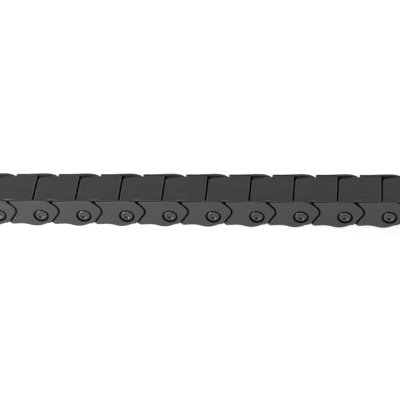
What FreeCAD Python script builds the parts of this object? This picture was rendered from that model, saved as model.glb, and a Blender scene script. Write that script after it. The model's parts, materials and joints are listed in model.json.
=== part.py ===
import FreeCAD, Part
import math
import os
from FreeCAD import Vector

# Enclosed cable track, a straight length of hinged links.
# X runs along the track, Y across it, Z up. The origin is under the middle of the track, on the
# surface that its side plates' lobes rest on. Every link has its own pivot bosses at its left end
# and the holes for the next link's bosses at its right end, one pitch further on.

# The track as a whole
pitch = 45.0               # from one pivot to the next
link_count = 11
overall_width = 45.0       # over the outer faces of the side plates
bend_radius = 125.0        # of the pivots when every hinge is at its stop

# Heights, all taken from the pivot axis
top_rise = 19.0            # up to the flat top
base_drop = 11.0           # down to the side plates' bottom edge between the lobes

# Walls across the track, from outside inwards
ear_wall = 3.2
ear_gap = 0.5              # between an ear and the neck inside it
neck_wall = 3.0
cover_strip = 2.4          # width of a side plate's top edge beside the cover

# Ear nose, measured from the pivot in its own ear
nose_forward = 11.1        # centre of the nose's round
nose_up = 6.7
nose_radius = 7.5
nose_gap = 1.8             # between the nose and the recess it points into
upper_flank = 50.3         # degrees from the track's length
lower_flank = 55.8
shoulder_drop = 0.25       # of the ear's unrounded shoulder below the flat top
shoulder_radius = 15.0

# Ear's crowned top edge
crown_lift = 1.0           # of the crown's unrounded corner above the flat top
crown_back = 20.0          # where the crown starts, behind the pivot
crown_peak_forward = 1.0
crown_radius = 45.0

# Side plate's bottom edge
lobe_depth = 3.3           # of a lobe below the edge between the lobes
lobe_back = 6.1            # of the lobe's middle behind the pivot
lobe_reach = 12.4          # from the lobe's middle back to where it leaves the base
lobe_radius = 17.8
base_radius = 25.0
heel_radius = 4.0
heel_forward = 5.0         # where the lobe ends, in front of the pivot
heel_lift = 0.15           # of the lobe's front end above the base
toe_lift = 0.65            # of the nose's lower corner above the base
corner_forward = 13.6      # body's lower left corner
corner_dip = 1.0           # of that corner below the base
edge_round = 0.5           # rounding of a side plate's outer edges
crest_round = 1.0          # of the body's upper left corner

# Pivot
boss_radius = 6.4
pivot_clearance = 0.05     # running fit, on the radius
land_length = 1.1          # of the ear hole's bearing wall
ring_width = 1.8           # of the counterbore around the boss
boss_chamfer = 1.2
dimple_radius = 3.8
dimple_depth = 2.0

# Neck
neck_left = 6.6            # of the top's left edge behind its own pivot
neck_rim = 3.1             # of the neck's side walls around the boss
neck_slope_run = 10.0      # the neck's top rises to the flat top this far in front of the pivot
neck_slope_drop = 1.4
lip_wall = 1.0             # of the cover's lip over the neck's side walls
lip_reach = 1.8            # of the lip out from the walls under it
plan_corner = 4.5          # rounding of the neck's corners, seen from above
chin_depth = 1.5           # of the neck's lower edge, behind the ear's nose, below the base
chin_start = 1.0           # where the neck turns down to it, in front of the pivot
chin_slope = 5.5           # length of that turn
chin_end = 3.0             # length of its rise to the base, from the body's corner on
web_gap = 2.0              # between the inner wall's end and the next link's neck

# Turn stops, between the neck's outer face and the ear's inner face
stop_rim = 0.7             # of the lug's inner edge outside the neck's round end
stop_length = 2.6          # of the lug, outwards from the pivot
stop_angle = 84.0          # middle of the lug at rest, in degrees above the track's length
stop_width = 14.0          # degrees
stop_height = 1.3
stop_clearance = 0.4

# Covers
cover_wall = 2.4
cover_end_gap = 1.7        # between a cover and the next link's neck, seen from above
seat_clearance = 0.05
apron_wall = 1.3
apron_gap = 1.1            # between the apron and the cover over it
nosing_wall = 1.4          # of the cover's left end, down to the apron
apron_lap = 2.0            # degrees that the apron still overlaps when fully turned
clip_depth = 3.0
clip_wall = 1.0
clip_bead = 0.4
clip_bead_drop = 2.1
clip_margin = 2.0          # of the clip from the ends of the inner wall
floor_wall = 1.8
floor_recess = 1.2         # of the floor's underside above the side plates' bottom edge
floor_tongue = 1.0         # of the floor's edges into the side plates
floor_end_back = 2.0       # of the floor's right-hand end behind the next pivot
trough_gap = 0.5           # between the neck's trough and the floor under it
trough_wall = 1.2
trough_lap = 1.5
side_clearance = 0.4       # between a cover and a neck that turns beside it
slope_radius = 60.0        # where the neck's slope meets the flat top
small_round = 0.6
end_round = 1.0

# Worked out from the sizes above
max_turn = 2 * math.degrees(math.asin(pitch / (2 * bend_radius)))
half_width = overall_width / 2
ear_inner = half_width - ear_wall
neck_outer = ear_inner - ear_gap
neck_inner = neck_outer - neck_wall
cover_edge = half_width - cover_strip
cover_under = top_rise - cover_wall
recess_radius = nose_radius + nose_gap
pivot_height = base_drop + lobe_depth
bore_radius = boss_radius + pivot_clearance
ring_radius = boss_radius + ring_width
neck_round = boss_radius + neck_rim
stop_inner = neck_round + stop_rim
stop_outer = stop_inner + stop_length
floor_under = -(base_drop - floor_recess)
floor_top = floor_under + floor_wall
upper_normal = math.radians(90 - upper_flank)
lower_normal = -math.radians(90 - lower_flank)
cover_end = pitch - neck_left - cover_end_gap
cover_shoulder = (nose_forward + small_round
                  + (recess_radius - (cover_under - nose_up) * math.sin(upper_normal))
                  / math.cos(upper_normal))
web_end = pitch - neck_round - web_gap
floor_end = pitch - floor_end_back
apron_outer = cover_under - apron_gap
apron_start = 90 + math.degrees(math.asin(neck_left / apron_outer))
lip_inner = neck_outer - lip_reach
apron_end = apron_start + max_turn + apron_lap
apron_reach = -apron_outer * math.cos(math.radians(apron_end))
left_reach = max(neck_round, apron_reach)
track_length = left_reach + link_count * pitch + nose_forward + nose_radius
first_pivot_x = left_reach - track_length / 2


def upright(x, z):
    return Vector(x, 0, z)


def flat(x, y):
    return Vector(x, y, 0)


def rounded_face(corners, place=upright):
    """Face inside a closed outline of corners (a, b, radius), each rounded by a tangent arc."""
    points = [place(a, b) for a, b, radius in corners]
    count = len(points)
    arrive = []
    middle = []
    leave = []
    for i in range(count):
        back = (points[i - 1] - points[i]).normalize()
        ahead = (points[(i + 1) % count] - points[i]).normalize()
        half_angle = back.getAngle(ahead) / 2
        radius = corners[i][2]
        setback = radius / math.tan(half_angle)
        inward = (back + ahead).normalize()
        arrive.append(points[i] + back * setback)
        leave.append(points[i] + ahead * setback)
        middle.append(points[i] + inward * (radius / math.sin(half_angle) - radius))
    edges = []
    for i in range(count):
        if corners[i][2] > 0:
            edges.append(Part.Arc(arrive[i], middle[i], leave[i]).toShape())
        after = (i + 1) % count
        if leave[i].distanceToPoint(arrive[after]) > 1e-6:
            edges.append(Part.makeLine(leave[i], arrive[after]))
    return Part.Face(Part.Wire(edges))


def wall(corners, y_from, y_to):
    """Upright wall between two planes across the track."""
    solid = rounded_face(corners).extrude(Vector(0, y_to - y_from, 0))
    return solid.translated(Vector(0, y_from, 0))


def block(x_from, x_to, y_from, y_to, z_from, z_to):
    corner = Vector(x_from, y_from, z_from)
    return Part.makeBox(x_to - x_from, y_to - y_from, z_to - z_from, corner)


def round_bar(radius, x, y_from, y_to):
    return Part.makeCylinder(radius, y_to - y_from, Vector(x, y_from, 0), Vector(0, 1, 0))


def polar(radius, angle):
    turn = math.radians(angle)
    return Vector(radius * math.cos(turn), 0, radius * math.sin(turn))


def ring_sector(inner, outer, angle_from, angle_to, x, y_from, y_to):
    """Part of a ring about the pivot at x, between two angles from the track's length."""
    half = (angle_from + angle_to) / 2
    outside = Part.Arc(polar(outer, angle_from), polar(outer, half), polar(outer, angle_to))
    inside = Part.Arc(polar(inner, angle_to), polar(inner, half), polar(inner, angle_from))
    edges = [
        outside.toShape(),
        Part.makeLine(polar(outer, angle_to), polar(inner, angle_to)),
        inside.toShape(),
        Part.makeLine(polar(inner, angle_from), polar(outer, angle_from)),
    ]
    face = Part.Face(Part.Wire(edges))
    return face.extrude(Vector(0, y_to - y_from, 0)).translated(Vector(x, y_from, 0))


def flank_vertex(radius):
    """Where the two flanks around a nose of this radius would meet."""
    spread = (upper_normal - lower_normal) / 2
    lean = (upper_normal + lower_normal) / 2
    reach = radius / math.cos(spread)
    return nose_forward + reach * math.cos(lean), nose_up + reach * math.sin(lean)


def flank_x(radius, z, normal):
    """How far in front of the pivot a flank is at height z."""
    return nose_forward + (radius - (z - nose_up) * math.sin(normal)) / math.cos(normal)


def outer_wall_corners():
    """Outline of the outer wall: recess at the left, ear and nose at the right, lobe below."""
    recess_x, recess_z = flank_vertex(recess_radius)
    nose_x, nose_z = flank_vertex(nose_radius)
    shoulder_z = top_rise - shoulder_drop
    toe_z = toe_lift - base_drop
    heel_z = heel_lift - base_drop
    lobe_tip_z = -(pivot_height + lobe_bulge())
    return [
        (flank_x(recess_radius, top_rise, upper_normal), top_rise, crest_round),
        (pitch - crown_back, top_rise, crown_radius),
        (pitch + crown_peak_forward, top_rise + crown_lift, crown_radius),
        (pitch + flank_x(nose_radius, shoulder_z, upper_normal), shoulder_z, shoulder_radius),
        (pitch + nose_x, nose_z, nose_radius),
        (pitch + flank_x(nose_radius, toe_z, lower_normal), toe_z, end_round),
        (pitch + heel_forward, heel_z, heel_radius),
        (pitch - lobe_back, lobe_tip_z, lobe_radius),
        (pitch - lobe_back - lobe_reach, -base_drop, base_radius),
        (corner_forward, -(base_drop + corner_dip), end_round),
        (flank_x(recess_radius, toe_z, lower_normal), toe_z, small_round),
        (recess_x, recess_z, recess_radius),
    ]


def lobe_bulge():
    """How far the lobe's unrounded corner lies below its rounded bottom, by repeated correction."""
    bulge = 0.0
    for correction in range(20):
        depth = lobe_depth + bulge
        back_slope = math.atan(depth / lobe_reach)
        front_slope = math.atan((depth + heel_lift) / (lobe_back + heel_forward))
        half_turn = (back_slope + front_slope) / 2
        lean = (back_slope - front_slope) / 2
        bulge = lobe_radius * (math.cos(lean) / math.cos(half_turn) - 1)
    return bulge


def make_side_plate():
    """Far side plate of a link, one moulding: outer wall with its ear, inner wall, neck, boss."""
    outer = wall(outer_wall_corners(), neck_outer, half_width)
    outer_face_edges = [e for e in outer.Edges if e.BoundBox.YMin > half_width - 1e-6]
    outer = outer.makeFillet(edge_round, outer_face_edges)
    behind_ear = block(web_end, 2 * pitch, 0, ear_inner, -2 * pivot_height, 2 * top_rise)
    outer = outer.cut(behind_ear)

    inner = wall([
        (-neck_left, cover_under, 0),
        (-neck_round, neck_round, neck_round / 2),
        (-neck_round, -neck_round, neck_round),
        (chin_start, -neck_round, heel_radius),
        (chin_start + chin_slope, -(base_drop + chin_depth), heel_radius),
        (corner_forward, -(base_drop + chin_depth), small_round),
        (corner_forward + chin_end, -base_drop, small_round),
        (web_end, -base_drop, 0),
        (web_end, cover_under, 0),
    ], neck_inner, neck_outer)
    plate = outer.fuse(inner)

    boss = round_bar(boss_radius, 0, neck_outer - small_round, half_width)
    rim = [e for e in boss.Edges if e.BoundBox.YMin > half_width - 1e-6]
    boss = boss.makeChamfer(boss_chamfer, rim)
    ball_radius = (dimple_radius ** 2 + dimple_depth ** 2) / (2 * dimple_depth)
    ball_y = half_width + ball_radius - dimple_depth
    boss = boss.cut(Part.makeSphere(ball_radius, Vector(0, ball_y, 0)))
    lug_from = stop_angle - stop_width / 2
    lug_to = stop_angle + stop_width / 2
    lug = ring_sector(stop_inner, stop_outer, lug_from, lug_to, 0,
                      neck_outer - small_round, neck_outer + stop_height)
    plate = plate.fuse([boss, lug])

    slack = math.degrees(stop_clearance / stop_outer)
    pocket = ring_sector(stop_inner - stop_clearance, stop_outer + stop_clearance,
                         lug_from - max_turn - slack, lug_to + slack, pitch,
                         ear_inner - small_round, neck_outer + stop_height + stop_clearance)
    bore = round_bar(bore_radius, pitch, 0, half_width + small_round)
    ring = round_bar(ring_radius, pitch, ear_inner + land_length, half_width + small_round)
    cover_seat = block(cover_shoulder, cover_end + seat_clearance,
                       0, cover_edge, cover_under, 2 * top_rise)
    floor_groove = block(floor_tongue_from() - seat_clearance, pitch, 0,
                         neck_inner + floor_tongue + seat_clearance,
                         floor_under - seat_clearance, floor_top + seat_clearance)
    under_lip = block(-neck_round, corner_forward - small_round, lip_inner, neck_outer,
                      stop_outer + small_round, cover_under)
    clip_from, clip_to = clip_span()
    bead_z = cover_under - clip_bead_drop
    clip_groove = block(clip_from - seat_clearance, clip_to + seat_clearance,
                        neck_inner - small_round, neck_inner + clip_bead + seat_clearance,
                        bead_z - clip_bead, bead_z + clip_bead)
    plate = plate.cut([pocket, bore, ring, cover_seat, floor_groove, under_lip, clip_groove])
    return plate.removeSplitter()


def clip_span():
    """Where the cover's clips and their grooves start and end along the link."""
    return flank_vertex(recess_radius)[0] + clip_margin, web_end - clip_margin


def floor_tongue_from():
    return corner_forward + chin_end


def make_top_cover():
    """Flat cover, sloping down over the neck, with a curved apron under the cover before it."""
    slope_end_z = top_rise - neck_slope_drop
    profile = wall([
        (-neck_left, cover_under, 0),
        (-neck_left, slope_end_z, end_round / 2),
        (neck_slope_run, top_rise, slope_radius),
        (cover_end, top_rise, small_round),
        (cover_end, cover_under, 0),
    ], -half_width, half_width)
    shoulder_x = cover_shoulder + seat_clearance
    body_edge = cover_edge - seat_clearance
    neck_edge = neck_outer - seat_clearance
    plan = rounded_face([
        (-neck_left, -neck_edge, plan_corner),
        (shoulder_x, -neck_edge, 0),
        (shoulder_x, -body_edge, small_round),
        (cover_end, -body_edge, small_round),
        (cover_end, body_edge, small_round),
        (shoulder_x, body_edge, small_round),
        (shoulder_x, neck_edge, 0),
        (-neck_left, neck_edge, plan_corner),
    ], flat).extrude(Vector(0, 0, 2 * top_rise))
    cover = profile.common(plan)
    for side in (-1, 1):
        inner_y = side * (lip_inner - seat_clearance)
        outer_y = side * half_width
        cover = cover.cut(block(-neck_round, shoulder_x, min(inner_y, outer_y),
                                max(inner_y, outer_y), 0, top_rise - neck_slope_drop - lip_wall))

    apron_half = neck_inner - side_clearance
    apron = ring_sector(apron_outer - apron_wall, apron_outer, 90, apron_end, 0,
                        -apron_half, apron_half)
    nosing = block(-neck_left, nosing_wall - neck_left, -apron_half, apron_half,
                   apron_outer - apron_wall, cover_under + small_round)
    nosing = nosing.cut(round_bar(apron_outer - apron_wall, 0, -half_width, half_width))
    cover = cover.fuse([apron, nosing])

    clip_from, clip_to = clip_span()
    bead_z = cover_under - clip_bead_drop
    clip_skin = neck_inner - seat_clearance
    clips = []
    for side in (-1, 1):
        skin_y = side * clip_skin
        leg_y = side * (clip_skin - clip_wall)
        bead_y = side * (neck_inner + clip_bead - seat_clearance)
        clips.append(block(clip_from, clip_to, min(skin_y, leg_y), max(skin_y, leg_y),
                           cover_under - clip_depth, cover_under + small_round))
        bead = round_bar(clip_bead - seat_clearance, 0, 0, clip_to - clip_from)
        bead.rotate(Vector(0, 0, 0), Vector(0, 0, 1), -90)
        bead_shift = Vector(clip_from, bead_y - side * clip_bead, bead_z)
        clips.append(bead.translated(bead_shift))
    return cover.fuse(clips).removeSplitter()


def make_bottom_cover():
    """Floor held in the side plates' grooves, with a curved trough over the floor before it."""
    narrow = neck_inner - side_clearance
    wide = neck_inner + floor_tongue
    trough_outer = -floor_top - trough_gap
    trough_inner = trough_outer - trough_wall
    lap = math.degrees(math.asin((floor_end_back + trough_lap) / trough_outer))
    trough = ring_sector(trough_inner, trough_outer, 270 - lap, 275, 0, -narrow, narrow)
    inner_end = polar(trough_inner, 274.5)
    outer_end = polar(trough_outer, 274.5)
    profile = wall([
        (inner_end.x, inner_end.z, 0),
        (outer_end.x, outer_end.z, 0),
        (corner_forward, floor_under, 0),
        (floor_end, floor_under, 0),
        (floor_end, floor_top, small_round),
        (corner_forward, floor_top, 0),
    ], -narrow, narrow)
    tongues = block(floor_tongue_from(), web_end - seat_clearance, -wide, wide,
                    floor_under, floor_top)
    return profile.fuse([trough, tongues]).removeSplitter()


far_plate = make_side_plate()
near_plate = far_plate.mirror(Vector(0, 0, 0), Vector(0, 1, 0))
pieces = {
    "near_plate": near_plate,
    "far_plate": far_plate,
    "top_cover": make_top_cover(),
    "bottom_cover": make_bottom_cover(),
}

os.makedirs("parts", exist_ok=True)
for index in range(link_count):
    place = Vector(first_pivot_x + index * pitch, 0, pivot_height)
    link_letter = "abcdefghijklmnopqrstuvwxyz"[index]
    for piece_name, piece in pieces.items():
        node = "link_" + link_letter + "_" + piece_name
        piece.translated(place).exportStep("parts/" + node + ".step")

for piece_name, piece in pieces.items():
    print(piece_name, "solids", len(piece.Solids), "valid", piece.isValid(),
          "volume", round(piece.Volume / 1000, 2), "cm3", "faces", len(piece.Faces))
print("length", round(track_length, 2), "first pivot x", round(first_pivot_x, 2),
      "turn", round(max_turn, 2))
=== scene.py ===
import json
import math

import bmesh
import bpy
from mathutils import Matrix, Vector

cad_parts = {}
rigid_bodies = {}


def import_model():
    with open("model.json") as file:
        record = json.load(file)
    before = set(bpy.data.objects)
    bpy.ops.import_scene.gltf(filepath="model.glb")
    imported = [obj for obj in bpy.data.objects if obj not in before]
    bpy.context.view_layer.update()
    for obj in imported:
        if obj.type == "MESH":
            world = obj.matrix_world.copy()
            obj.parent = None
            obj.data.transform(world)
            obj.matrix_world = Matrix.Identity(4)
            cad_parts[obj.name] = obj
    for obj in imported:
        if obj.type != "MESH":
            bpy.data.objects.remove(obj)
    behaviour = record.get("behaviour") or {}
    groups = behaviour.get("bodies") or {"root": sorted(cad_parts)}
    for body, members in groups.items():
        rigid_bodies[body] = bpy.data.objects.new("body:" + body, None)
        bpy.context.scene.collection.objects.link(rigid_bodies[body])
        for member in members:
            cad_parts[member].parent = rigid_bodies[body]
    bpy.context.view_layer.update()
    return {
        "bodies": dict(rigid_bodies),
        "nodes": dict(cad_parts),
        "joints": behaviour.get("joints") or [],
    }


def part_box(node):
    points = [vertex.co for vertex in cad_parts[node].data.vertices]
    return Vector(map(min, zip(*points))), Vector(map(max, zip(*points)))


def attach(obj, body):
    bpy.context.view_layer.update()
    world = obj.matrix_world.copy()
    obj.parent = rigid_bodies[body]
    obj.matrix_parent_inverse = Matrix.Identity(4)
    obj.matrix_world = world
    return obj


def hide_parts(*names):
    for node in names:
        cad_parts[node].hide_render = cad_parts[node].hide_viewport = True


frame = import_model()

MM = 0.001

# The track's own sizes, read from the frame
hinges = frame["joints"]
pitch = hinges[1]["pos_m"][0] - hinges[0]["pos_m"][0]
first_pivot = Vector(hinges[0]["pos_m"]) - Vector((pitch, 0, 0))
links = list(frame["bodies"])
top_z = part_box("link_a_top_cover")[1].z
cover_end_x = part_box("link_a_top_cover")[1].x
plate_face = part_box("link_a_far_plate")[1].y
floor_under_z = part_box("link_a_bottom_cover")[0].z
floor_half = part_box("link_a_bottom_cover")[1].y
view_hinge = Vector(hinges[5]["pos_m"])

# Top cover, measured from its link's own pivot
cover_wall = 2.4 * MM      # thickness of the plate
lid_left = 6.6 * MM        # how far the neck reaches to the left of the pivot
lid_neck_half = 18.75 * MM
lid_body_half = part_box("link_a_top_cover")[1].y
lid_shoulder = 15.62 * MM  # where the cover widens
lid_end = cover_end_x - first_pivot.x
lid_under_z = top_z - cover_wall
lid_plan_corner = 4.5 * MM # radius of the two left corners, seen from above
lid_plan_steps = 10
lid_small_corner = 0.6 * MM
lid_small_steps = 4
lid_least_corner = 0.03 * MM
lid_neck_margin = 0.5 * MM # from the pivot and from the shoulder to the neck's side points
lid_neck_steps = 12
lid_rim = 0.75 * MM        # rounding of the upper edge
lid_rim_steps = 5
lid_foot = 0.25 * MM       # rounding of the lower edge
lid_foot_bulge = 0.3       # share of the rounding at its middle, inward and up
lid_cut_depth = 0.005 * MM # below the plate's underside, where the clips are cut off
slope_foot = 1.4 * MM      # fall of the neck's top to its left edge
slope_run = 16.6 * MM
slope_blend = 2.5 * MM     # half the length over which the slope runs out

# Mouldings that repeat along each link
ridge_count = 9
ridge_radius = 0.35 * MM
ridge_step = 2.6 * MM
ridge_first = 19.5 * MM
ridge_margin = 4.0 * MM
rib_count = 5
rib_step = 5.0 * MM
rib_length = 12.0 * MM
rib_middle = 22.5 * MM
rib_radius = 0.6 * MM
ridge_sides = 16
ridge_lengths = 6          # pieces along a ridge
ridge_crease = math.radians(40)

# Merging and shading of the refined copies
merge_distance = 0.002 * MM
flat_limit = math.radians(0.4)
crease = math.radians(32)
# The second finish is painted shade, a near-black nylon for faces that lie in gaps
plain_finish, painted_shade_finish, boss_finish = range(3)

# Where a side plate's finish changes, and where its painted highlight and painted shade go
edge_band = 0.55 * MM      # of the rounded outer edges, in from the outer face
gap_band = 1.6 * MM        # deeper than this from the outer face, a surface only shows in a gap
gap_floor_z = 4.2 * MM     # lower walls stand in the open
lip_height = 1.2 * MM      # and so do walls this close to the top
boss_band = 6.6 * MM       # around the link's own pivot
boss_height = 3.6 * MM     # how far the boss stands out of its neck
ring_band = 8.4 * MM       # around the hole for the next link's boss
ring_start = 0.2 * MM      # of the hole's wall, in from the outer face
least_lean = 0.12          # a rounded edge's faces turn sideways more than this,
most_lean = 0.985          # and less than this
highlight_rise = 0.3             # rounded edges that face up more than this get a painted highlight
wall_lean = 0.3            # a gap's walls turn sideways less than this
gap_edge_lean = 0.75       # and the part of its rounded edges that gets painted shade less than this

# Studio
floor_glow = 0.8
air_glow = 0.09
lamps = {
    "key_light": ((-0.95, -0.85, 0.55), (-0.25, 0, 0), (0.5, 0.5), 1.2),
    "near_light": ((-0.5, -0.35, 0.25), (-0.25, 0, 0), (0.2, 0.2), 1.6),
    "overhead_light": ((0, 0.2, 1.5), (0, 0, 0), (1.4, 0.9), 1.8),
    "back_light": ((0, 1.3, 1.1), (0, 0, 0), (1.6, 0.8), 0.5),
    "rear_strip_light": ((0, 0.34, 0.3), (0, 0, 0.03), (1.0, 0.12), 0.56),
}


def make_camera():
    """Long lens, looking down on the track from the front and slightly from the right."""
    elevation = math.radians(41.49)
    azimuth = math.radians(8.75)
    roll = math.radians(-5.54)
    distance = 38.34 * pitch
    aim_left = 0.344 * pitch
    aim_down = 0.358 * pitch
    target = Vector((view_hinge.x - aim_left, 0, top_z - aim_down))
    forward = Vector((-math.sin(azimuth) * math.cos(elevation),
                      math.cos(azimuth) * math.cos(elevation),
                      -math.sin(elevation)))
    level_right = Vector((math.cos(azimuth), math.sin(azimuth), 0))
    level_up = level_right.cross(forward)
    right = math.cos(roll) * level_right + math.sin(roll) * level_up
    up = -math.sin(roll) * level_right + math.cos(roll) * level_up
    lens = bpy.data.cameras.new("camera")
    lens.sensor_width = 36.0
    lens.lens = 149.6
    lens.clip_end = 20
    camera = bpy.data.objects.new("camera", lens)
    bpy.context.scene.collection.objects.link(camera)
    place = target - forward * distance
    camera.matrix_world = Matrix(((right.x, up.x, -forward.x, place.x),
                                  (right.y, up.y, -forward.y, place.y),
                                  (right.z, up.z, -forward.z, place.z),
                                  (0, 0, 0, 1)))
    bpy.context.scene.camera = camera


def make_studio():
    """Pale glowing floor, soft lamps round the track and a weak even light from everywhere."""
    bpy.ops.mesh.primitive_plane_add(size=12, location=(0, 0, 0))
    floor = bpy.context.object
    floor.name = "studio_floor"
    paper = bpy.data.materials.new("floor_paper")
    paper.use_nodes = True
    shader = paper.node_tree.nodes["Principled BSDF"]
    shader.inputs["Base Color"].default_value = (0.9, 0.9, 0.9, 1)
    shader.inputs["Roughness"].default_value = 0.9
    shader.inputs["Emission Color"].default_value = (1, 1, 1, 1)
    shader.inputs["Emission Strength"].default_value = floor_glow
    floor.data.materials.append(paper)
    for name, (place, aim, size, power) in lamps.items():
        lamp = bpy.data.lights.new(name, "AREA")
        lamp.shape = "RECTANGLE"
        lamp.size = size[0]
        lamp.size_y = size[1]
        lamp.energy = power
        holder = bpy.data.objects.new(name, lamp)
        holder.location = place
        holder.rotation_euler = (Vector(aim) - Vector(place)).to_track_quat("-Z", "Y").to_euler()
        bpy.context.scene.collection.objects.link(holder)
    air = bpy.data.worlds.new("studio_air")
    air.use_nodes = True
    air.node_tree.nodes["Background"].inputs["Color"].default_value = (1, 1, 1, 1)
    air.node_tree.nodes["Background"].inputs["Strength"].default_value = air_glow
    bpy.context.scene.world = air
    bpy.context.scene.view_settings.view_transform = "Standard"


def new_group(name, inputs, outputs):
    """Shader node group whose inputs are numbers with these starting values."""
    tree = bpy.data.node_groups.new(name, "ShaderNodeTree")
    for socket_name, start in inputs.items():
        socket = tree.interface.new_socket(socket_name, in_out="INPUT",
                                           socket_type="NodeSocketFloat")
        socket.default_value = start
    for socket_name in outputs:
        tree.interface.new_socket(socket_name, in_out="OUTPUT", socket_type="NodeSocketFloat")
    return tree, tree.nodes.new("NodeGroupInput"), tree.nodes.new("NodeGroupOutput")


def own_place(tree):
    """Where a point lies on its own moulding, the same on every link."""
    place = tree.nodes.new("ShaderNodeAttribute")
    place.attribute_name = "own_place"
    return place.outputs["Vector"]


def object_place(tree):
    return tree.nodes.new("ShaderNodeTexCoord").outputs["Object"]


def math_node(tree, operation, *values):
    node = tree.nodes.new("ShaderNodeMath")
    node.operation = operation
    for socket, value in zip(node.inputs, values):
        if isinstance(value, (int, float)):
            socket.default_value = value
        else:
            tree.links.new(value, socket)
    return node.outputs[0]


def noise_node(tree, place, scale, detail):
    node = tree.nodes.new("ShaderNodeTexNoise")
    node.inputs["Detail"].default_value = detail
    tree.links.new(place, node.inputs["Vector"])
    if isinstance(scale, (int, float)):
        node.inputs["Scale"].default_value = scale
    else:
        tree.links.new(scale, node.inputs["Scale"])
    return node.outputs["Fac"]


def make_mould_grain():
    """Fine even texture that a spark-eroded mould leaves, with a slower change of sheen."""
    tree, given, result = new_group("mould_grain", {"Grains per Metre": 3500.0},
                                    ["Height", "Sheen"])
    fine = noise_node(tree, object_place(tree), given.outputs["Grains per Metre"], 3.0)
    tree.links.new(fine, result.inputs["Height"])
    slow = math_node(tree, "MULTIPLY", given.outputs["Grains per Metre"], 0.06)
    tree.links.new(noise_node(tree, object_place(tree), slow, 4.0), result.inputs["Sheen"])
    return tree


def make_draw_lines():
    """Faint streaks along the link, left where the moulding slides out of its tool."""
    tree, given, result = new_group("draw_lines", {"Along": 9.0, "Across": 420.0}, ["Streak"])
    stretch = tree.nodes.new("ShaderNodeCombineXYZ")
    tree.links.new(given.outputs["Along"], stretch.inputs["X"])
    tree.links.new(given.outputs["Across"], stretch.inputs["Y"])
    tree.links.new(given.outputs["Across"], stretch.inputs["Z"])
    product = tree.nodes.new("ShaderNodeVectorMath")
    product.operation = "MULTIPLY"
    tree.links.new(own_place(tree), product.inputs[0])
    tree.links.new(stretch.outputs["Vector"], product.inputs[1])
    tree.links.new(noise_node(tree, product.outputs["Vector"], 1.0, 4.0), result.inputs["Streak"])
    return tree


def make_painted_edge_highlight():
    """Painted highlight on the marked up-facing rounded edges, patchy along their length."""
    tree, given, result = new_group("rubbed_edges", {"Patches per Metre": 160.0}, ["Rub"])
    edge = tree.nodes.new("ShaderNodeAttribute")
    edge.attribute_name = "soft_edge"
    patch = noise_node(tree, object_place(tree), given.outputs["Patches per Metre"], 3.0)
    strong = math_node(tree, "MULTIPLY_ADD", patch, 1.2, 0.2)
    strong.node.use_clamp = True
    tree.links.new(math_node(tree, "MULTIPLY", edge.outputs["Fac"], strong), result.inputs["Rub"])
    return tree


def make_mottle():
    """Slow cloudy change of tone in the pigment, different on each link."""
    tree, given, result = new_group("pigment_mottle", {"Clouds per Metre": 45.0}, ["Tone"])
    clouds = noise_node(tree, object_place(tree), given.outputs["Clouds per Metre"], 5.0)
    tree.links.new(clouds, result.inputs["Tone"])
    return tree


def place_group(tree, group, **values):
    node = tree.nodes.new("ShaderNodeGroup")
    node.node_tree = group
    for name, value in values.items():
        node.inputs[name.replace("_", " ")].default_value = value
    return node.outputs


def mixed(tree, amount, low, high):
    """Colour between low and high."""
    node = tree.nodes.new("ShaderNodeMix")
    node.data_type = "RGBA"
    tree.links.new(amount, node.inputs["Factor"])
    for socket, value in ((node.inputs["A"], low), (node.inputs["B"], high)):
        if isinstance(value, tuple):
            socket.default_value = (*value, 1)
        else:
            tree.links.new(value, socket)
    return node.outputs["Result"]


def ranged(tree, value, low, high):
    node = tree.nodes.new("ShaderNodeMapRange")
    tree.links.new(value, node.inputs["Value"])
    node.inputs["To Min"].default_value = low
    node.inputs["To Max"].default_value = high
    return node.outputs["Result"]


def make_nylon(name, dark, light, highlight_tone, gloss, streak_share=0.0, grain_depth=1.0,
               streak_depth=0.0, shine=0.5):
    """Black moulded nylon. dark and light bound its tone, gloss its roughness; the third colour is
    a painted highlight on the marked rounded edges, which also get a little less rough.
    """
    material = bpy.data.materials.new(name)
    material.use_nodes = True
    tree = material.node_tree
    shader = tree.nodes["Principled BSDF"]
    grain = place_group(tree, groups["grain"], Grains_per_Metre=3200.0)
    lines = place_group(tree, groups["lines"], Along=9.0, Across=430.0)
    edge_highlight = place_group(tree, groups["edge_highlight"], Patches_per_Metre=170.0)
    mottle = place_group(tree, groups["mottle"], Clouds_per_Metre=45.0)
    streak = ranged(tree, lines["Streak"], -0.6, 1.6)
    steady = math_node(tree, "MULTIPLY", mottle["Tone"], 1 - streak_share)
    tone = math_node(tree, "MULTIPLY_ADD", streak, streak_share, steady)
    tone.node.use_clamp = True
    body = mixed(tree, tone, dark, light)
    # Painted highlight: the marked edges are lightened towards the third colour
    tree.links.new(mixed(tree, edge_highlight["Rub"], body, highlight_tone), shader.inputs["Base Color"])
    rough = ranged(tree, grain["Sheen"], gloss[0], gloss[1])
    highlight_gloss = math_node(tree, "MULTIPLY", edge_highlight["Rub"], 0.08)
    tree.links.new(math_node(tree, "SUBTRACT", rough, highlight_gloss), shader.inputs["Roughness"])
    relief = math_node(tree, "MULTIPLY", grain["Height"], grain_depth)
    groove = math_node(tree, "MULTIPLY_ADD", lines["Streak"], streak_depth, relief)
    bump = tree.nodes.new("ShaderNodeBump")
    bump.inputs["Distance"].default_value = 0.02 * MM
    bump.inputs["Strength"].default_value = 0.6
    tree.links.new(groove, bump.inputs["Height"])
    tree.links.new(bump.outputs["Normal"], shader.inputs["Normal"])
    shader.inputs["IOR"].default_value = 1.5
    shader.inputs["Specular IOR Level"].default_value = shine
    return material


def lid_top(x):
    """Height of the cover's top at x in front of the pivot: flat, then sloping down to the left."""
    start = slope_run - lid_left
    fall = slope_foot / slope_run
    if x > start + slope_blend:
        return top_z
    if x > start - slope_blend:
        return top_z - fall * (start + slope_blend - x) ** 2 / (4 * slope_blend)
    return top_z - fall * (start - x)


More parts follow.
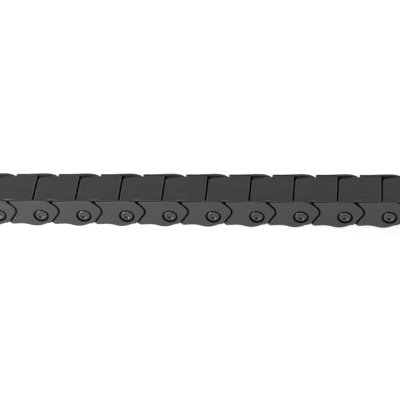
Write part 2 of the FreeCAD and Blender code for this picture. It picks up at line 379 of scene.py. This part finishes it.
def lid_side(inset):
    """The cover's outline on its near side, left to right, drawn in by inset."""
    points = []

    def corner(x, y, radius, turn_from, steps, left):
        """Rounded corner with its tip at (x, y), drawn from the direction turn_from, in degrees."""
        r = max(radius - inset, lid_least_corner)
        middle_x = x + r if left else x - r
        for step in range(steps + 1):
            turn = math.radians(turn_from + 90 * step / steps)
            points.append((middle_x + r * math.cos(turn), y + r + r * math.sin(turn)))

    neck_y = inset - lid_neck_half
    body_y = inset - lid_body_half
    corner(inset - lid_left, neck_y, lid_plan_corner, 180, lid_plan_steps, True)
    for step in range(1, lid_neck_steps):
        share = step / lid_neck_steps
        x = share * (lid_shoulder - lid_neck_margin) + (1 - share) * lid_neck_margin
        points.append((x, neck_y))
    points.append((lid_shoulder + inset, neck_y))
    corner(lid_shoulder + inset, body_y, lid_small_corner, 180, lid_small_steps, True)
    for share in (0.25, 0.5, 0.75):
        points.append((lid_shoulder + share * (lid_end - lid_shoulder), body_y))
    corner(lid_end - inset, body_y, lid_small_corner, 270, lid_small_steps, False)
    return points


def build_lid(mesh, mark):
    """The cover's plate: rings of its outline from the lower edge, round the rim, to the top."""
    bulge = lid_foot_bulge * lid_foot
    levels = [(lid_foot, None, 0.0), (bulge, None, bulge), (0.0, None, lid_foot)]
    foot_levels = len(levels)
    for step in range(lid_rim_steps + 1):
        turn = math.radians(90 * step / lid_rim_steps)
        levels.append((lid_rim * (1 - math.cos(turn)), lid_rim * (1 - math.sin(turn)), 0.0))
    rings = []
    for inset, below_top, above_foot in levels:
        near = lid_side(inset)
        ring = []
        for x, y in near + [(x, -y) for x, y in reversed(near)]:
            z = lid_under_z + above_foot if below_top is None else lid_top(x) - below_top
            ring.append(mesh.verts.new((first_pivot.x + x, y, z)))
        rings.append(ring)
    made = []
    count = len(rings[0])
    for level in range(len(rings) - 1):
        for i in range(count):
            after = (i + 1) % count
            face = mesh.faces.new((rings[level][i], rings[level][after],
                                   rings[level + 1][after], rings[level + 1][i]))
            # The rim's faces are marked for the painted highlight
            if level >= foot_levels:
                face[mark] = 1.0
            made.append(face)
    for ring in (rings[0], rings[-1]):
        for i in range(count // 2 - 1):
            made.append(mesh.faces.new((ring[i], ring[i + 1], ring[count - 2 - i],
                                        ring[count - 1 - i])))
    bmesh.ops.recalc_face_normals(mesh, faces=made)


def rebuild_cover(mesh, mark):
    """Keeps the clips and the apron below the cover's plate, painting shade on them, and builds the
    plate anew.
    """
    everything = mesh.verts[:] + mesh.edges[:] + mesh.faces[:]
    bmesh.ops.bisect_plane(mesh, geom=everything, dist=0.001 * MM,
                           plane_co=(0, 0, lid_under_z - lid_cut_depth), plane_no=(0, 0, 1),
                           clear_outer=True)
    for face in mesh.faces:
        face.material_index = painted_shade_finish
    bmesh.ops.holes_fill(mesh, edges=[e for e in mesh.edges if e.is_boundary], sides=0)
    build_lid(mesh, mark)


def refined_shape(node_name):
    """Merged copy of a moulding, its flat faces whole."""
    node = frame["nodes"][node_name]
    mesh = bmesh.new()
    mesh.from_mesh(node.data)
    bmesh.ops.remove_doubles(mesh, verts=mesh.verts, dist=merge_distance)
    bmesh.ops.dissolve_limit(mesh, angle_limit=flat_limit, verts=mesh.verts,
                             edges=mesh.edges, delimit=set())
    for face in mesh.faces:
        face.material_index = plain_finish
    # Layer marking faces for the painted edge highlight
    mark = mesh.faces.layers.float.new("soft_edge")
    return mesh, mark


def pivot_distance(place, turn):
    """Distance from the link's own pivot, or from the next one if turn is 1."""
    return math.hypot(place.x - first_pivot.x - turn * pitch, place.z - first_pivot.z)


def sort_plate_faces(mesh, mark):
    """Up-facing rounded outer edges are marked for a painted highlight; bosses get their own
    finish, and the walls of gaps and the ring round the next boss's hole get painted shade.
    """
    for face in mesh.faces:
        middle = face.calc_center_median()
        depth = plate_face - abs(middle.y)
        lean = abs(face.normal.y)
        # Up-facing rounded outer edges are marked for the painted highlight
        if depth < edge_band and least_lean < lean < most_lean and face.normal.z > highlight_rise:
            face[mark] = 1.0
        # Below, the ring round the next boss's hole and the walls of gaps get painted shade, a
        # near-black finish
        faces_inward = face.normal.y * middle.y < 0
        if pivot_distance(middle, 0) < boss_band and depth < boss_height:
            face.material_index = boss_finish
        elif pivot_distance(middle, 1) < ring_band and depth > ring_start and not faces_inward:
            face.material_index = painted_shade_finish
        elif gap_floor_z < middle.z < top_z - lip_height and not faces_inward:
            if depth > gap_band or lean < (wall_lean if depth > edge_band else gap_edge_lean):
                face.material_index = painted_shade_finish


def finish_shape(mesh, name, materials):
    """The mesh as a shape with these materials, its places on the moulding and even shading."""
    place = mesh.verts.layers.float_vector.new("own_place")
    for vert in mesh.verts:
        vert[place] = vert.co - first_pivot
    shape = bpy.data.meshes.new(name)
    mesh.to_mesh(shape)
    mesh.free()
    for material in materials:
        shape.materials.append(material)
    for face in shape.polygons:
        face.use_smooth = True
    shape.set_sharp_from_angle(angle=crease)
    holder = bpy.data.objects.new(name, shape)
    bpy.context.scene.collection.objects.link(holder)
    even = holder.modifiers.new("even_shading", "WEIGHTED_NORMAL")
    even.keep_sharp = True
    even.weight = 100
    return plain_mesh(holder, name)


def plain_mesh(holder, name):
    """What the object's modifiers make of it, as a mesh of its own; the object is removed."""
    evaluated = holder.evaluated_get(bpy.context.evaluated_depsgraph_get())
    shape = bpy.data.meshes.new_from_object(evaluated)
    shape.name = name
    bpy.data.objects.remove(holder)
    return shape


def make_ridge_row():
    """Node tree: a row of half-sunk round ridges, for grip ridges and stiffening ribs."""
    tree = bpy.data.node_groups.new("ridge_row", "GeometryNodeTree")
    face = tree.interface
    for name, kind in (("Ridge Count", "NodeSocketInt"), ("First Ridge", "NodeSocketVector"),
                       ("Step", "NodeSocketVector"), ("Ridge Length", "NodeSocketFloat"),
                       ("Ridge Radius", "NodeSocketFloat"), ("Turn", "NodeSocketVector"),
                       ("Finish", "NodeSocketMaterial")):
        face.new_socket(name, in_out="INPUT", socket_type=kind)
    face.new_socket("Geometry", in_out="OUTPUT", socket_type="NodeSocketGeometry")
    given = tree.nodes.new("NodeGroupInput")
    result = tree.nodes.new("NodeGroupOutput")
    line = tree.nodes.new("GeometryNodeMeshLine")
    bar = tree.nodes.new("GeometryNodeMeshCylinder")
    bar.fill_type = "TRIANGLE_FAN"
    bar.inputs["Vertices"].default_value = ridge_sides
    bar.inputs["Side Segments"].default_value = ridge_lengths
    spread = tree.nodes.new("GeometryNodeInstanceOnPoints")
    turn = tree.nodes.new("FunctionNodeEulerToRotation")
    real = tree.nodes.new("GeometryNodeRealizeInstances")
    finish = tree.nodes.new("GeometryNodeSetMaterial")
    wires = (
        (given.outputs["Ridge Count"], line.inputs["Count"]),
        (given.outputs["First Ridge"], line.inputs["Start Location"]),
        (given.outputs["Step"], line.inputs["Offset"]),
        (given.outputs["Ridge Radius"], bar.inputs["Radius"]),
        (given.outputs["Ridge Length"], bar.inputs["Depth"]),
        (given.outputs["Turn"], turn.inputs["Euler"]),
        (line.outputs["Mesh"], spread.inputs["Points"]),
        (bar.outputs["Mesh"], spread.inputs["Instance"]),
        (turn.outputs["Rotation"], spread.inputs["Rotation"]),
        (spread.outputs["Instances"], real.inputs["Geometry"]),
        (real.outputs["Geometry"], finish.inputs["Geometry"]),
        (given.outputs["Finish"], finish.inputs["Material"]),
        (finish.outputs["Geometry"], result.inputs["Geometry"]),
    )
    for source, target in wires:
        tree.links.new(source, target)
    return tree


def ridge_shape(name, **values):
    """Runs the ridge tree with these inputs and returns its mesh, with places on the moulding."""
    holder = bpy.data.objects.new(name, bpy.data.meshes.new(name))
    bpy.context.scene.collection.objects.link(holder)
    modifier = holder.modifiers.new("ridges", "NODES")
    modifier.node_group = ridge_row
    for item in ridge_row.interface.items_tree:
        key = item.name.replace(" ", "_")
        if item.in_out == "INPUT" and key in values:
            modifier[item.identifier] = values[key]
    shape = plain_mesh(holder, name)
    for face in shape.polygons:
        face.use_smooth = True
    shape.set_sharp_from_angle(angle=ridge_crease)
    place = shape.attributes.new("own_place", "FLOAT_VECTOR", "POINT")
    for vert in shape.vertices:
        place.data[vert.index].vector = vert.co - first_pivot
    # The ridges carry no painted edge highlight
    shape.attributes.new("soft_edge", "FLOAT", "FACE")
    return shape


def put_on_links(shape, piece_name, stands_for=None):
    """One copy of a moulding on every link, each a pitch further along, riding its own link."""
    for index, link in enumerate(links):
        copy = shape.copy()
        copy.transform(Matrix.Translation((index * pitch, 0, 0)))
        copy.name = link + "_" + piece_name
        piece = bpy.data.objects.new(copy.name, copy)
        bpy.context.scene.collection.objects.link(piece)
        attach(piece, link)
        if stands_for:
            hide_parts(link + "_" + stands_for)


make_camera()
make_studio()
groups = {"grain": make_mould_grain(), "lines": make_draw_lines(),
          "edge_highlight": make_painted_edge_highlight(), "mottle": make_mottle()}
# The third colour of each nylon is its painted edge highlight
plate_nylon = make_nylon("side_plate_nylon",
                         dark=(0.040, 0.041, 0.043), light=(0.060, 0.061, 0.064),
                         highlight_tone=(0.260, 0.262, 0.268), gloss=(0.40, 0.52),
                         streak_share=0.15, streak_depth=0.2)
cover_nylon = make_nylon("cover_nylon",
                         dark=(0.020, 0.021, 0.023), light=(0.070, 0.071, 0.075),
                         highlight_tone=(0.260, 0.263, 0.270), gloss=(0.36, 0.52),
                         streak_share=0.65, streak_depth=1.0)
boss_nylon = make_nylon("pivot_boss_nylon",
                        dark=(0.020, 0.021, 0.022), light=(0.034, 0.035, 0.037),
                        highlight_tone=(0.130, 0.132, 0.136), gloss=(0.14, 0.20),
                        grain_depth=0.3, shine=0.9)
# Near-black nylon that paints shade on the walls of gaps, the ring round each hole and the faces
# under the cover
painted_shade_nylon = make_nylon("greased_gap_nylon",
                       dark=(0.004, 0.004, 0.004), light=(0.010, 0.010, 0.011),
                       highlight_tone=(0.012, 0.012, 0.013), gloss=(0.60, 0.75),
                       grain_depth=0.6, shine=0.2)

# In the order of plain_finish, painted_shade_finish and boss_finish
plate_finishes = (plate_nylon, painted_shade_nylon, boss_nylon)
for node_name, piece_name, refine, finishes, slot_name in (
        ("near_plate", "near_side_plate", sort_plate_faces, plate_finishes, "side_plate"),
        ("far_plate", "far_side_plate", sort_plate_faces, plate_finishes, "side_plate"),
        ("top_cover", "moulded_top_cover", rebuild_cover, (cover_nylon, painted_shade_nylon), "cover"),
        ("bottom_cover", "moulded_bottom_cover", None, (cover_nylon,), "cover")):
    mesh, mark = refined_shape("link_a_" + node_name)
    if refine:
        refine(mesh, mark)
    shape = finish_shape(mesh, piece_name, finishes)
    put_on_links(shape, piece_name, node_name)

ridge_row = make_ridge_row()
grip = ridge_shape(
    "grip_ridges", Ridge_Count=ridge_count, Finish=cover_nylon,
    First_Ridge=(first_pivot.x + ridge_first, 0, floor_under_z),
    Step=(ridge_step, 0, 0), Ridge_Length=2 * (floor_half - ridge_margin),
    Ridge_Radius=ridge_radius, Turn=(math.radians(90), 0, 0))
put_on_links(grip, "grip_ridges")
ribs = ridge_shape(
    "cover_ribs", Ridge_Count=rib_count, Finish=cover_nylon,
    First_Ridge=(first_pivot.x + rib_middle, -rib_step * (rib_count - 1) / 2, top_z - cover_wall),
    Step=(0, rib_step, 0), Ridge_Length=rib_length,
    Ridge_Radius=rib_radius, Turn=(0, math.radians(90), 0))
put_on_links(ribs, "cover_ribs")
